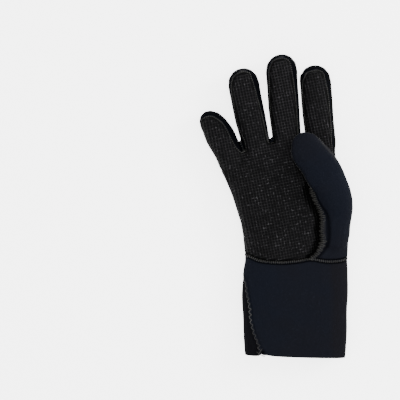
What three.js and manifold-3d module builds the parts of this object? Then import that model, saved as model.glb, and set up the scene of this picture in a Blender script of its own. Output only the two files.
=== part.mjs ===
// A right-hand wet diving glove of thick neoprene. It lies on the back of the hand, palm up, with the thumb
// folded over the palm and the long cuff open at the wrist end.
// Millimetres. +X is the thumb side, +Y points to the fingertips and +Z out of the palm.
import * as THREE from "three";
import { mergeVertices } from "three/addons/utils/BufferGeometryUtils.js";
import Module from "manifold-3d";

const wasm = await Module();
wasm.setup();

// Sheet and seams
const WALL = 5; // neoprene with its lining
const SEAM_GAP = 0.35; // clearance between two sewn panels
const SINK = 1.5; // how far the soft shell is flattened where it lies

// Cuff, measured flat from the wrist seam to the mouth
const CUFF_LENGTH = 94.5;
const CUFF_WIDTH = 106;
const CUFF_THICKNESS = 32;

// Hand, from the wrist seam to the line of the finger crotches
const PALM_LENGTH = 120;
const PALM_WIDTH = 119;
const PALM_THICKNESS = 35;
const PALM_DENT = 4; // hollow beside the ball of the thumb
const PALM_DENT_RADIUS = 22;
const PALM_DENT_AT = { x: 0.12, y: 0.28 }; // shares of the palm's length from the middle of the wrist
const KNUCKLE_TURN = 15; // degrees by which the line of the crotches climbs towards the thumb side

// Fingers, from the line of the crotches to the tip
const PINKY_LENGTH = 48;
const RING_LENGTH = 79.5;
const MIDDLE_LENGTH = 84.5;
const INDEX_LENGTH = 64;
const PINKY_WIDTH = 29.8;
const RING_WIDTH = 31.2;
const MIDDLE_WIDTH = 31.8;
const INDEX_WIDTH = 32;
const FINGER_THICKNESS = 27;
const FINGER_ROOT = 36; // how far a finger's tube runs back into the palm
const FINGER_ROOT_SHARE = 0.6; // its width there
const ROOT_LIFT = 2.5; // how far a root inside the hand stays above the underside
const FINGER_CURL = 8; // rise of the middle fingertip off the table

// Thumb, from the wrist seam to the centre of its tip
const THUMB_REACH = 109;
const THUMB_WIDTH = 39.8;
const THUMB_THICKNESS = 30;
const THUMB_CLEARANCE = 2; // air between the folded thumb and the palm

// Facets
const SLEEVE_SIDES = 32;
const FINGER_SIDES = 16;
const THUMB_SIDES = 18;
const TIP_RINGS = [28, 54, 76]; // degrees round a fingertip

// Squareness of a cross-section: 2 is an ellipse
const SLEEVE_SQUARENESS = 2.7;
const FINGER_SQUARENESS = 2.3;

// Space around the glove that a cutter has to reach across
const REACH = 300;

// Sections of the cuff, from the mouth: lengths are shares of the cuff's length, width and thickness.
const CUFF_SECTIONS = [
  { along: 1.0, shift: -0.026, width: 0.949, thick: 1.0, turn: -2 },
  { along: 0.82, shift: -0.024, width: 0.969, thick: 1.0, turn: -1 },
  { along: 0.5, shift: -0.028, width: 0.99, thick: 0.98, turn: 0 },
  { along: 0.24, shift: -0.026, width: 1.0, thick: 0.96, turn: 0 },
];

// Sections of the hand, from the wrist: along and shift are shares of the palm's length, width and thick of its own.
const PALM_SECTIONS = [
  { along: 0, shift: -0.013, width: 0.866, thick: 0.86, turn: 0 },
  { along: 0.145, shift: -0.014, width: 0.885, thick: 0.94, turn: 2 },
  { along: 0.36, shift: -0.039, width: 0.895, thick: 1.0, turn: 5 },
  { along: 0.62, shift: -0.107, width: 0.915, thick: 0.99, turn: 9 },
  { along: 0.86, shift: -0.165, width: 0.95, thick: 0.86, turn: 12 },
  { along: 1.0, shift: -0.19, width: 0.8, thick: 0.66, turn: KNUCKLE_TURN },
];

// Fingers: place is a share of half the palm's width along the line of the crotches. lean is at the root and
// bend is what the tip adds, both in degrees towards the little finger.
const FINGERS = [
  { name: "pinky", place: -0.795, lean: 26, bend: 14, length: PINKY_LENGTH, width: PINKY_WIDTH },
  { name: "ring", place: -0.305, lean: 16, bend: -8, length: RING_LENGTH, width: RING_WIDTH },
  { name: "middle", place: 0.206, lean: 5.5, bend: -3, length: MIDDLE_LENGTH, width: MIDDLE_WIDTH },
  { name: "index", place: 0.782, lean: 5.5, bend: -2.5, length: INDEX_LENGTH, width: INDEX_WIDTH },
];

// Width and thickness along a finger, as shares: 0 is the crotch line and 1 the start of the rounded tip.
const FINGER_SECTIONS = [
  { along: 0, width: 0.94, thick: 1.0 },
  { along: 0.3, width: 0.985, thick: 1.0 },
  { along: 0.65, width: 1.0, thick: 0.98 },
  { along: 1.0, width: 0.97, thick: 0.92 },
];

// Thumb, from its root at the wrist: x and y are shares of the thumb's reach, width and thick of its own.
// raised goes from 0 inside the hand to 1 lying on the palm, whose height there is a share of the palm's.
const THUMB_ROOT = { x: 0.262, y: 0.03 };
const THUMB_SECTIONS = [
  { x: 0, y: 0.02, width: 0.5, thick: 0.8, raised: 0, palm: 0.9 },
  { x: 0.034, y: 0.152, width: 0.8, thick: 1.1, raised: 0, palm: 0.9 },
  { x: 0.05, y: 0.311, width: 0.83, thick: 1.17, raised: 0.02, palm: 0.95 },
  { x: 0.065, y: 0.453, width: 0.83, thick: 1.1, raised: 0.17, palm: 0.95 },
  { x: 0.022, y: 0.6, width: 0.9, thick: 0.97, raised: 0.55, palm: 0.93 },
  { x: -0.066, y: 0.757, width: 0.92, thick: 0.9, raised: 1, palm: 0.88 },
  { x: -0.15, y: 0.88, width: 0.88, thick: 0.87, raised: 1, palm: 0.84 },
  { x: -0.232, y: 0.992, width: 0.85, thick: 0.8, raised: 1, palm: 0.82 },
];
const THUMB_GRIP_START = 4.6; // row of the table above where the thumb's own grip strip starts
const THUMB_GRIP_LEVEL = -0.12; // height of the strip's seam, as a share of half the thumb's thickness

// Wrist seam across the cuff, as shares of the cuff's width: across from the middle, on the palm and on the back.
const WRIST_SEAM = [
  { across: -0.6, palm: 0.06, back: 0.05 },
  { across: -0.47, palm: 0.045, back: 0.064 },
  { across: -0.39, palm: 0.01, back: 0.09 },
  { across: -0.268, palm: -0.0075, back: 0.117 },
  { across: -0.126, palm: -0.0085, back: 0.128 },
  { across: 0.043, palm: 0.012, back: 0.11 },
  { across: 0.081, palm: 0.022, back: 0.1 },
  { across: 0.157, palm: 0.018, back: 0.083 },
  { across: 0.26, palm: -0.001, back: 0.06 },
  { across: 0.389, palm: 0.003, back: 0.03 },
  { across: 0.6, palm: 0.03, back: 0.024 },
];

// Seam round the ball of the thumb, from the wrist to the outside of the index finger, as shares of the palm's
// length. Its last four points pass under the thumb.
const THENAR_SEAM = [
  { x: 0.01, y: -0.16 },
  { x: 0.04, y: -0.04 },
  { x: 0.075, y: 0.02 },
  { x: 0.138, y: 0.065 },
  { x: 0.19, y: 0.135 },
  { x: 0.217, y: 0.22 },
  { x: 0.213, y: 0.32 },
  { x: 0.186, y: 0.423 },
  { x: 0.148, y: 0.512 },
  { x: 0.125, y: 0.6 },
  { x: 0.165, y: 0.69 },
  { x: 0.275, y: 0.77 },
  { x: 0.41, y: 0.87 },
  { x: 0.57, y: 0.96 },
];

// Back inset over the middle and ring fingers: an arch whose foot points are the crotches beside them.
const ARCH_DEPTH = 61; // from the line of the crotches back to the crown
const ARCH = [
  { across: 1.0, deep: 0.0 },
  { across: 1.03, deep: 0.3 },
  { across: 1.0, deep: 0.6 },
  { across: 0.84, deep: 0.82 },
  { across: 0.5, deep: 0.96 },
  { across: 0, deep: 1.0 },
];

// Cuff seam, which winds from the wrist on the back, round the little-finger side, to the mouth on the palm side.
const CUFF_SEAM = { wrist: -0.4, side: -0.3, mouth: -0.362 };

// Height of the seam between palm and back, as shares of the thickness there.
const SPLIT_AT_WRIST = 0.55;
const SPLIT_AT_PALM = 0.6;
const SPLIT_AT_FINGERS = 0.75;

const radians = THREE.MathUtils.degToRad;
const KNUCKLE_LEAN = radians(KNUCKLE_TURN);
const knuckleEnd = PALM_SECTIONS[PALM_SECTIONS.length - 1];
const CROTCH_CENTRE = new THREE.Vector2(knuckleEnd.shift, knuckleEnd.along).multiplyScalar(PALM_LENGTH);
const ACROSS = new THREE.Vector2(Math.cos(KNUCKLE_LEAN), Math.sin(KNUCKLE_LEAN));
const FORWARD = new THREE.Vector2(-ACROSS.y, ACROSS.x);

// A value that eases from 0 to 1 between two marks.
function ease(value, from, to) {
  return THREE.MathUtils.smoothstep(value, Math.min(from, to), Math.max(from, to));
}

// Rows between the rows of a table, on a smooth curve through every column.
function between(rows, steps) {
  const keys = Object.keys(rows[0]);
  const at = (i) => rows[THREE.MathUtils.clamp(i, 0, rows.length - 1)];
  const made = [];
  for (let i = 0; i < rows.length - 1; i++) {
    for (let k = 0; k < steps; k++) made.push(mixed(keys, [at(i - 1), at(i), at(i + 1), at(i + 2)], k / steps));
  }
  made.push({ ...rows[rows.length - 1] });
  return made;
}

function mixed(keys, [before, from, to, after], t) {
  const row = {};
  for (const key of keys) {
    const slopeFrom = (to[key] - before[key]) / 2;
    const slopeTo = (after[key] - from[key]) / 2;
    row[key] =
      from[key] * (2 * t ** 3 - 3 * t ** 2 + 1) +
      slopeFrom * (t ** 3 - 2 * t ** 2 + t) +
      to[key] * (3 * t ** 2 - 2 * t ** 3) +
      slopeTo * (t ** 3 - t ** 2);
  }
  return row;
}

// Distance of a place beyond the line of the crotches, towards the fingertips.
function beyondCrotch(x, y) {
  return new THREE.Vector2(x, y).sub(CROTCH_CENTRE).dot(FORWARD);
}

// Rise of the fingers, which curl a little towards the palm.
function curl(x, y) {
  const start = -0.1 * PALM_LENGTH;
  const share = Math.max(0, beyondCrotch(x, y) - start) / (MIDDLE_LENGTH - start);
  return FINGER_CURL * share ** 2;
}

// Depth of the hollow of the palm.
function dent(x, y) {
  const away = Math.hypot(x - PALM_DENT_AT.x * PALM_LENGTH, y - PALM_DENT_AT.y * PALM_LENGTH) / PALM_DENT_RADIUS;
  return PALM_DENT * Math.exp(-(away ** 2));
}

// A closed solid from a geometry whose vertices may still be split or whose faces may point inwards.
function solid(geometry) {
  geometry.deleteAttribute("normal");
  geometry.deleteAttribute("uv");
  const merged = mergeVertices(geometry, 1e-4);
  const mesh = { numProp: 3, vertProperties: merged.attributes.position.array };
  const triVerts = new Uint32Array(merged.index.array);
  const made = new wasm.Manifold(new wasm.Mesh({ ...mesh, triVerts }));
  if (made.volume() > 0) return made;
  return new wasm.Manifold(new wasm.Mesh({ ...mesh, triVerts: triVerts.reverse() }));
}

// A closed skin over rings that all have as many points, with a fan on each end.
function skinned(rings) {
  const count = rings[0].length;
  const points = rings.flat();
  const faces = [];
  for (let r = 0; r < rings.length - 1; r++) {
    for (let k = 0; k < count; k++) {
      const next = (k + 1) % count;
      const [a, b] = [r * count + k, r * count + next];
      faces.push(a, b, b + count, a, b + count, a + count);
    }
  }
  for (const [ring, flip] of [[0, true], [rings.length - 1, false]]) {
    const centre = new THREE.Vector3();
    rings[ring].forEach((point) => centre.addScaledVector(point, 1 / count));
    points.push(centre);
    for (let k = 0; k < count; k++) {
      const edge = [ring * count + k, ring * count + ((k + 1) % count)];
      faces.push(...(flip ? edge.reverse() : edge), points.length - 1);
    }
  }
  const geometry = new THREE.BufferGeometry().setFromPoints(points);
  geometry.setIndex(faces);
  return solid(geometry);
}

// One rounded cross-section. The shell is flattened where it lies, and shaped by the given function.
function ring(section, sides, squareness, shape) {
  const { centre, side, up, halfWidth, halfThick, floor } = section;
  return Array.from({ length: sides }, (_, k) => {
    const angle = (2 * Math.PI * k) / sides;
    const curve = (value) => Math.sign(value) * Math.abs(value) ** (2 / squareness);
    const raise = curve(Math.sin(angle));
    const point = centre
      .clone()
      .addScaledVector(side, halfWidth * curve(Math.cos(angle)))
      .addScaledVector(up, halfThick * raise);
    if (shape) point.z -= shape(point.x, point.y) * Math.max(0, raise);
    point.z = Math.max(point.z, floor) + curl(point.x, point.y);
    return point;
  });
}

// A section of the sleeve that makes cuff and hand, standing upright and turned about Z.
function sleeveSection({ x, y, width, thick, turn }, inset) {
  const angle = radians(turn);
  return {
    centre: new THREE.Vector3(x, y, thick / 2 - SINK),
    side: new THREE.Vector3(Math.cos(angle), Math.sin(angle), 0),
    up: new THREE.Vector3(0, 0, 1),
    halfWidth: width / 2 - inset,
    halfThick: thick / 2 - inset,
    floor: inset,
  };
}

// Cuff and hand in one sleeve. The inner one stands out of the mouth and stops a wall short of the crotches.
function sleeve(inset) {
  const cuff = CUFF_SECTIONS.map((row) => ({
    x: row.shift * CUFF_WIDTH,
    y: -row.along * CUFF_LENGTH,
    width: row.width * CUFF_WIDTH,
    thick: row.thick * CUFF_THICKNESS,
    turn: row.turn,
  }));
  const hand = PALM_SECTIONS.map((row) => ({
    x: row.shift * PALM_LENGTH,
    y: row.along * PALM_LENGTH,
    width: row.width * PALM_WIDTH,
    thick: row.thick * PALM_THICKNESS,
    turn: row.turn,
  }));
  const rows = between([...cuff, ...hand], 2);
  if (inset) {
    rows[0].y -= inset;
    rows.at(-1).x -= FORWARD.x * inset;
    rows.at(-1).y -= FORWARD.y * inset;
    rows.at(-1).thick += inset;
  }
  const sections = rows.map((row) => sleeveSection(row, inset));
  sections.at(-1).floor += ROOT_LIFT;
  return skinned(sections.map((section) => ring(section, SLEEVE_SIDES, SLEEVE_SQUARENESS, dent)));
}

// A finger's middle line: place and heading at a distance beyond the line of the crotches.
function fingerLine(finger, distance) {
  const root = CROTCH_CENTRE.clone().addScaledVector(ACROSS, (finger.place * PALM_WIDTH) / 2);
  const share = Math.max(0, distance) / finger.length;
  const chord = radians(finger.lean + (finger.bend * share) / 2);
  const heading = radians(finger.lean + finger.bend * share);
  return {
    x: root.x - Math.sin(chord) * distance,
    y: root.y + Math.cos(chord) * distance,
    side: new THREE.Vector3(Math.cos(heading), Math.sin(heading), 0),
  };
}

// A finger's tube, from inside the palm to its rounded tip.
function fingerTube(finger, inset) {
  const tip = finger.width / 2;
  const straight = finger.length - tip;
  const rows = between(FINGER_SECTIONS, 2).map((row) => ({ ...row, distance: row.along * straight }));
  rows.unshift({ ...rows[0], distance: -FINGER_ROOT, width: FINGER_ROOT_SHARE, lift: ROOT_LIFT });
  const last = rows.at(-1);
  for (const degrees of TIP_RINGS) {
    const share = Math.cos(radians(degrees));
    const distance = straight + (tip - inset) * Math.sin(radians(degrees));
    rows.push({ distance, width: last.width, thick: last.thick, share });
  }
  const sections = rows.map(({ distance, width, thick, share = 1, lift = 0 }) => {
    const { x, y, side } = fingerLine(finger, distance);
    const halfThick = (thick * FINGER_THICKNESS) / 2;
    return {
      centre: new THREE.Vector3(x, y, halfThick - SINK),
      side,
      up: new THREE.Vector3(0, 0, 1),
      halfWidth: ((width * finger.width) / 2 - inset) * share,
      halfThick: (halfThick - inset) * share,
      floor: inset + lift,
    };
  });
  return skinned(sections.map((section) => ring(section, FINGER_SIDES, FINGER_SQUARENESS)));
}

// The thumb's middle line with its sizes. It leaves the hand at the ball of the thumb and lies on the palm.
const thumbRows = between(THUMB_SECTIONS, 2).map((row) => {
  const halfThick = (row.thick * THUMB_THICKNESS) / 2;
  const inHand = halfThick - SINK;
  const onPalm = row.palm * PALM_THICKNESS - SINK + THUMB_CLEARANCE + halfThick;
  return {
    centre: new THREE.Vector3(
      THUMB_ROOT.x * PALM_WIDTH + row.x * THUMB_REACH,
      THUMB_ROOT.y * PALM_LENGTH + row.y * THUMB_REACH,
      THREE.MathUtils.lerp(inHand, onPalm, row.raised),
    ),
    halfWidth: (row.width * THUMB_WIDTH) / 2,
    halfThick,
  };
});

thumbRows.forEach((row, i) => {
  const before = thumbRows[Math.max(0, i - 1)].centre;
  const after = thumbRows[Math.min(thumbRows.length - 1, i + 1)].centre;
  row.heading = after.clone().sub(before).normalize();
  row.side = row.heading.clone().cross(new THREE.Vector3(0, 0, 1)).normalize();
  row.up = row.side.clone().cross(row.heading);
});

// The thumb's tube, from the wrist to its rounded tip.
function thumbTube(inset) {
  const sections = thumbRows.map((row) => ({
    ...row,
    halfWidth: row.halfWidth - inset,
    halfThick: row.halfThick - inset,
    floor: inset + ROOT_LIFT,
  }));
  const last = sections.at(-1);
  for (const degrees of TIP_RINGS) {
    const share = Math.cos(radians(degrees));
    const forward = last.halfWidth * Math.sin(radians(degrees));
    sections.push({
      ...last,
      centre: last.centre.clone().addScaledVector(last.heading, forward),
      halfWidth: last.halfWidth * share,
      halfThick: last.halfThick * share,
    });
  }
  return skinned(sections.map((section) => ring(section, THUMB_SIDES, FINGER_SQUARENESS)));
}

// A closed block between a grid of points on one surface and the matching points of another.
function block(us, vs, surface, far) {
  const columns = vs.length;
  const points = [surface, far].flatMap((place) => us.flatMap((u) => vs.map((v) => place(u, v))));
  const layer = us.length * columns;
  const faces = [];
  const quad = (a, b, c, d) => faces.push(a, b, c, a, c, d);
  for (let i = 0; i < us.length - 1; i++) {
    for (let j = 0; j < columns - 1; j++) {
      const a = i * columns + j;
      quad(a, a + columns, a + columns + 1, a + 1);
      quad(a + layer, a + layer + 1, a + layer + columns + 1, a + layer + columns);
    }
  }
  const rim = [];
  for (let j = 0; j < columns; j++) rim.push(j);
  for (let i = 1; i < us.length; i++) rim.push(i * columns + columns - 1);
  for (let j = columns - 2; j >= 0; j--) rim.push((us.length - 1) * columns + j);
  for (let i = us.length - 2; i > 0; i--) rim.push(i * columns);
  rim.forEach((a, k) => {
    const b = rim[(k + 1) % rim.length];
    quad(a, b, b + layer, a + layer);
  });
  const geometry = new THREE.BufferGeometry().setFromPoints(points);
  geometry.setIndex(faces);
  return solid(geometry);
}

function steps(from, to, count) {
  return Array.from({ length: count + 1 }, (_, k) => THREE.MathUtils.lerp(from, to, k / count));
}

// Height of the seam between the palm side and the back.
function splitHeight(x, y) {
  const toPalm = ease(y, 0, 0.35 * PALM_LENGTH);
  const toFingers = ease(beyondCrotch(x, y), -0.3 * PALM_LENGTH, 0);
  const palm = THREE.MathUtils.lerp(SPLIT_AT_WRIST, SPLIT_AT_PALM, toPalm) * PALM_THICKNESS;
  return THREE.MathUtils.lerp(palm, SPLIT_AT_FINGERS * FINGER_THICKNESS, toFingers) + curl(x, y);
}

// Everything on the palm side of that seam, raised by a shift.
function palmSide(shift) {
  const xs = steps(-REACH / 2, REACH / 3, 6);
  const ys = steps(-0.3 * PALM_LENGTH, PALM_LENGTH + 1.2 * MIDDLE_LENGTH, 14);
  return block(
    xs,
    ys,
    (x, y) => new THREE.Vector3(x, y, splitHeight(x, y) + shift),
    (x, y) => new THREE.Vector3(x, y, REACH / 2),
  );
}

// Everything on the finger side of the wrist seam, moved by a shift.
function handSide(shift) {
  const rows = between(WRIST_SEAM, 2);
  const top = PALM_THICKNESS;
  const levels = [-top, 0.3 * top, 0.7 * top, 3 * top];
  const seam = (row, z) => {
    const share = THREE.MathUtils.lerp(row.back, row.palm, ease(z, 0.3 * top, 0.7 * top));
    return share * CUFF_WIDTH + shift;
  };
  return block(
    rows,
    levels,
    (row, z) => new THREE.Vector3(row.across * CUFF_WIDTH, seam(row, z), z),
    (row, z) => new THREE.Vector3(row.across * 4 * CUFF_WIDTH, REACH, z),
  );
}

// An upright block over a plan outline, grown by a margin.
function upright(outline, margin, from, to) {
  const grown = outline.map((point, k) => {
    const before = point.clone().sub(outline.at(k - 1)).normalize();
    const after = outline[(k + 1) % outline.length].clone().sub(point).normalize();
    const along = before.clone().add(after).normalize();
    return point.clone().addScaledVector(new THREE.Vector2(along.y, -along.x), margin / along.dot(after));
  });
  const geometry = new THREE.ExtrudeGeometry(new THREE.Shape(grown), { depth: to - from, bevelEnabled: false });
  return solid(geometry.translate(0, 0, from));
}

// Plan outline of the grip palm: the thenar seam, then round the outside of the hand, anticlockwise.
function palmOutline() {
  const seam = between(THENAR_SEAM, 2).map((row) => new THREE.Vector2(row.x, row.y).multiplyScalar(PALM_LENGTH));
  const top = PALM_LENGTH + 1.4 * MIDDLE_LENGTH;
  const corners = [
    [seam.at(-1).x, top],
    [-PALM_WIDTH, top],
    [-PALM_WIDTH, seam[0].y],
  ];
  return [...seam, ...corners.map(([x, y]) => new THREE.Vector2(x, y))];
}

// A line in the gap between two neighbouring fingers, from the crotch line outwards.
function gapLine(left, right) {
  const far = 1.3 * MIDDLE_LENGTH;
  return steps(0, far, 6).map((distance) => {
    const a = fingerLine(left, distance);
    const b = fingerLine(right, distance);
    const edge = (place, width) => new THREE.Vector2(place.x + place.side.x * width, place.y + place.side.y * width);
    return edge(a, (0.96 * left.width) / 2).lerp(edge(b, (-0.96 * right.width) / 2), 0.5);
  });
}

const [pinky, ringFinger, middle, index] = FINGERS;

// Plan outline of one half of the arch on the back, with its finger. towards is 1 for the middle finger.
function archOutline(towards) {
  const outer = towards > 0 ? gapLine(middle, index) : gapLine(pinky, ringFinger);
  const inner = gapLine(ringFinger, middle);
  const arm = between(ARCH, 2).map((row) => {
    const foot = inner[0].clone().lerp(outer[0], row.across);
    return foot.addScaledVector(FORWARD, -row.deep * ARCH_DEPTH);
  });
  const outline = [...inner.slice(1).reverse(), inner[0], ...arm.reverse(), ...outer.slice(1)];
  return towards > 0 ? outline : outline.reverse();
}

// The underside of the thumb's tube, from its tip back to where it leaves the palm.
function thumbGripBlock(margin) {
  const first = Math.round(THUMB_GRIP_START * 2);
  const tip = thumbRows.at(-1);
  const rows = thumbRows.slice(first);
  rows[0] = { ...rows[0], centre: rows[0].centre.clone().addScaledVector(rows[0].heading, -margin) };
  rows.push({ ...tip, centre: tip.centre.clone().addScaledVector(tip.heading, THUMB_WIDTH) });
  const lifted = (row) => THUMB_GRIP_LEVEL * row.halfThick + margin;
  const place = (row, v, height) => {
    const point = row.centre.clone().addScaledVector(row.side, v * THUMB_WIDTH);
    point.z += curl(point.x, point.y);
    return point.addScaledVector(row.up, height);
  };
  return block(
    rows,
    [-1, 1],
    (row, v) => place(row, v, lifted(row)),
    (row, v) => place(row, v, -row.halfThick - THUMB_CLEARANCE / 2),
  );
}

// The slit of the cuff's own seam, a thin upright sheet above and another below the middle of the cuff.
function cuffSlit() {
  const level = CUFF_THICKNESS / 2;
  const corner = new THREE.Vector2(-0.56 * CUFF_WIDTH, CUFF_SEAM.side * CUFF_LENGTH);
  const mouth = new THREE.Vector2(CUFF_SEAM.mouth * CUFF_WIDTH, -1.05 * CUFF_LENGTH);
  const wrist = new THREE.Vector2(CUFF_SEAM.wrist * CUFF_WIDTH, 0.15 * CUFF_LENGTH);
  const sheet = (from, to, low, high) => {
    const across = to.clone().sub(from).normalize().rotateAround(new THREE.Vector2(), Math.PI / 2);
    const outline = [from, to].map((point) => point.clone().addScaledVector(across, -SEAM_GAP / 2));
    outline.push(...[to, from].map((point) => point.clone().addScaledVector(across, SEAM_GAP / 2)));
    return upright(outline, 0, low, high);
  };
  return sheet(corner, mouth, level, 3 * level).add(sheet(corner, wrist, -level, level));
}

// The largest body of a solid: what a cut leaves beside it is a sliver.
function largest(made) {
  return made.decompose().reduce((best, body) => (body.volume() > best.volume() ? body : best));
}

const outerHand = FINGERS.reduce((whole, finger) => whole.add(fingerTube(finger, 0)), sleeve(0));
const innerHand = FINGERS.reduce((whole, finger) => whole.add(fingerTube(finger, WALL)), sleeve(WALL));
const hollow = innerHand.add(thumbTube(WALL));
const thumb = thumbTube(0);

// Palm panel: grip neoprene over the palm and the fronts of the four fingers
const beyondWrist = handSide(SEAM_GAP / 2);
const palmPlan = palmOutline();
const palmBlock = (margin) => upright(palmPlan, margin, 0, REACH / 2).intersect(palmSide(-margin));
const palmPanel = outerHand.subtract(hollow).intersect(beyondWrist).intersect(palmBlock(0));

// The rest of the hand with the whole thumb, which is clear of the palm that it lies on
const raisedHand = outerHand.translate([0, 0, SEAM_GAP]);
const freeThumb = thumb.subtract(raisedHand.intersect(palmBlock(SEAM_GAP)));
const rest = outerHand.subtract(palmBlock(SEAM_GAP)).add(freeThumb).subtract(hollow).intersect(beyondWrist);

// Thumb grip: the strip on the thumb's inner side, which faces the palm
const thumbGrip = thumb.subtract(hollow).subtract(raisedHand).intersect(thumbGripBlock(0));

// Middle and ring backs: the two halves of the arch on the back of the hand
const overFingers = palmSide(WALL / 4);
const archBlock = (towards, margin) => upright(archOutline(towards), margin, -WALL, REACH / 8).subtract(overFingers);
const middleBack = rest.intersect(archBlock(1, -SEAM_GAP / 2));
const ringBack = rest.intersect(archBlock(-1, -SEAM_GAP / 2));

// Back panel: the back of the hand with the index, the little finger and the thumb
const handBack = rest
  .subtract(archBlock(1, SEAM_GAP / 2))
  .subtract(archBlock(-1, SEAM_GAP / 2))
  .subtract(thumbGripBlock(SEAM_GAP));

// Cuff: one sheet rolled into a tube
const cuff = outerHand.subtract(hollow).subtract(thumb).subtract(handSide(-SEAM_GAP / 2)).subtract(cuffSlit());

const smoothBlack = new THREE.MeshStandardMaterial({ color: 0x17191f, roughness: 0.85, metalness: 0 });
const gripBlack = new THREE.MeshStandardMaterial({ color: 0x1b1b1d, roughness: 0.7, metalness: 0 });

function panel(name, made, material) {
  const { numProp, vertProperties, triVerts } = largest(made).getMesh();
  const geometry = new THREE.BufferGeometry();
  const data = new THREE.InterleavedBuffer(vertProperties, numProp);
  geometry.setAttribute("position", new THREE.InterleavedBufferAttribute(data, 3, 0));
  geometry.setIndex(new THREE.BufferAttribute(triVerts, 1));
  const mesh = new THREE.Mesh(geometry, material);
  mesh.name = name;
  return mesh;
}

const glove = new THREE.Group();
glove.add(panel("cuff", cuff, smoothBlack));
glove.add(panel("back_panel", handBack, smoothBlack));
glove.add(panel("middle_back", middleBack, smoothBlack));
glove.add(panel("ring_back", ringBack, smoothBlack));
glove.add(panel("palm_panel", palmPanel, gripBlack));
glove.add(panel("thumb_grip", thumbGrip, gripBlack));

// The origin is under the middle of the glove, on the surface that it lies on.
const bounds = new THREE.Box3().setFromObject(glove);
const centre = bounds.getCenter(new THREE.Vector3());
glove.position.set(-centre.x, -centre.y, -bounds.min.z);

export default glove;
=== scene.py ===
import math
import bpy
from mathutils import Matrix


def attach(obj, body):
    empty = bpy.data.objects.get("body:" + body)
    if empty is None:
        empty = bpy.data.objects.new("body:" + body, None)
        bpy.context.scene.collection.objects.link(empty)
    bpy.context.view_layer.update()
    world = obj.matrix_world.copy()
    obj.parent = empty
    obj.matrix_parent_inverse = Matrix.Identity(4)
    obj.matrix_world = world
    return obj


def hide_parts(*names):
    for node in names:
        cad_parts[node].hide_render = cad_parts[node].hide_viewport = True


bl_info = {
    "name": "Diving glove",
    "version": (1, 0, 0),
    "blender": (4, 5, 0),
    "location": "3D View > Sidebar > Glove",
    "description": "Dresses the solids of a right-hand neoprene diving glove",
    "category": "Object",
}

import bpy
import numpy as np
from mathutils import Vector
from mathutils.bvhtree import BVHTree

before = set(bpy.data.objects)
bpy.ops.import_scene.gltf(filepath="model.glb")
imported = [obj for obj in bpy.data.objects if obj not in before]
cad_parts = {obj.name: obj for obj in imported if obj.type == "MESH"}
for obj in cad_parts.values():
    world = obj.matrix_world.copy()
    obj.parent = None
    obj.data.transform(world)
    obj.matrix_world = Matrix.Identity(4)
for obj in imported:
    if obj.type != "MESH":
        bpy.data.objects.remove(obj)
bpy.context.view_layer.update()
MM = 0.001
BODY = "root"

HAND_NODES = ("back_panel", "middle_back", "ring_back", "palm_panel", "thumb_grip")
PANELS = ("cuff",) + HAND_NODES
GRIP_PANELS = ("palm_panel", "thumb_grip")

# Landmarks in the frame, in mm
PINKY_ROOT = (-45.9, 52.3)
PINKY_TIP = (-68.0, 84.0)
CUFF_SEAM_PALM = ((-40.0, -61.0), (-33.5, -70.0), (-30.5, -78.0), (-29.5, -86.7), (-26.5, -103.7),
                  (-26.0, -113.7), (-22.7, -127.7), (-18.1, -139.3), (-15.0, -152.0))
CUFF_SEAM_BACK = ((-19.8, -35.0), (-29.0, -62.0), (-42.0, -86.0))
CUFF_NOTCH = (-17.0, -150.0)

# Places where the worn-in skin lies off its pattern: x, y, move in x, move in y, reach, lowest z
EASES = (
    (-76.0, 76.0, 2.4, 0.0, 9.0, -9.0),
    (-66.5, 92.0, -2.4, 0.8, 10.0, -9.0),
    (-53.2, 38.0, -2.4, 0.0, 9.0, -9.0),
    (59.5, 62.0, 2.6, 0.0, 12.0, -9.0),
    (9.0, 58.0, 2.8, 0.0, 13.0, 26.0),
    (20.0, 32.0, 2.4, 0.0, 11.0, 25.0),
    (33.0, 12.0, 2.6, 0.0, 9.0, 22.0),
)

# The thumb's outer edge beside the index finger, which carries a painted highlight, from end to end
THUMB_HIGHLIGHT_EDGE = ((41.2, 66.2), (49.4, 56.6), (57.3, 45.9))

# Length and height of the soft wobble in the worn skin
WOBBLE_LENGTH = 9.0
WOBBLE_HEIGHT = 0.16

# Fingertips that are fuller than their pattern: middle of the tip's round in x and y, growth
FULL_TIPS = ((-67.0, 82.0, 0.9), (-33.5, 125.0, 1.9), (7.1, 138.5, 1.8), (40.8, 128.0, 2.4))
TIP_ROUND = 14.0

# The skin's making, in mm: growth that closes the gaps between the solids, distance within which fingers are
# drawn apart and by which share of it, rounds of smoothing and its two shares, which keep the size, depth of
# the mouth's rim, and the lowest height of skin and stitches over the floor
GAP_GROWTH = 0.22
FINGER_REACH = 3.6
FINGER_SHARE = 0.5
SMOOTHING_ROUNDS = 34
SMOOTHING_SHARES = (0.5, -0.53)
RIM_DEPTH = 7
SKIN_LOWEST = 0.3
STITCH_LOWEST = 0.02

# Rows of a seam's cross-section: distance from the seam and height, both as shares of its width and height
RIDGE = ((0.0, 0.75), (0.3, 1.0), (0.75, 0.75), (1.15, 0.0), (1.6, -0.5), (2.6, 0.0))
FEWEST_POINTS = 6

# Limits of the seams: how near a seam another may end, in its widths, the lowest height of the thumb's seam
# and the furthest x of the cuff's
TOUCH = 0.02
THUMB_LOWEST = 20
CUFF_SEAM_SIDE = 20

# How much a seam's ridge is lightened, by wear and painted highlight, and how much painted shade lies in the
# grooves beside it
RIDGE_WEAR_AND_HIGHLIGHT = {"wrist": 0.7, "palm": 1.0, "arch": 0.8, "centre": 0.8, "thumb": 0.8, "cuff": 0.25}
GROOVE_SHADE = {"wrist": 0.85, "palm": 0.5, "arch": 0.5, "centre": 0.5, "thumb": 0.5, "cuff": 0.2}

# Stitches: factors on the pitch, the seam's width and the thread, and the slant in radians
CROSS_STITCH = (1.0, 2.5, 1.0, 0.35)
ZIGZAG_STITCH = (1.25, 3.6, 1.3, 1.7)

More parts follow.
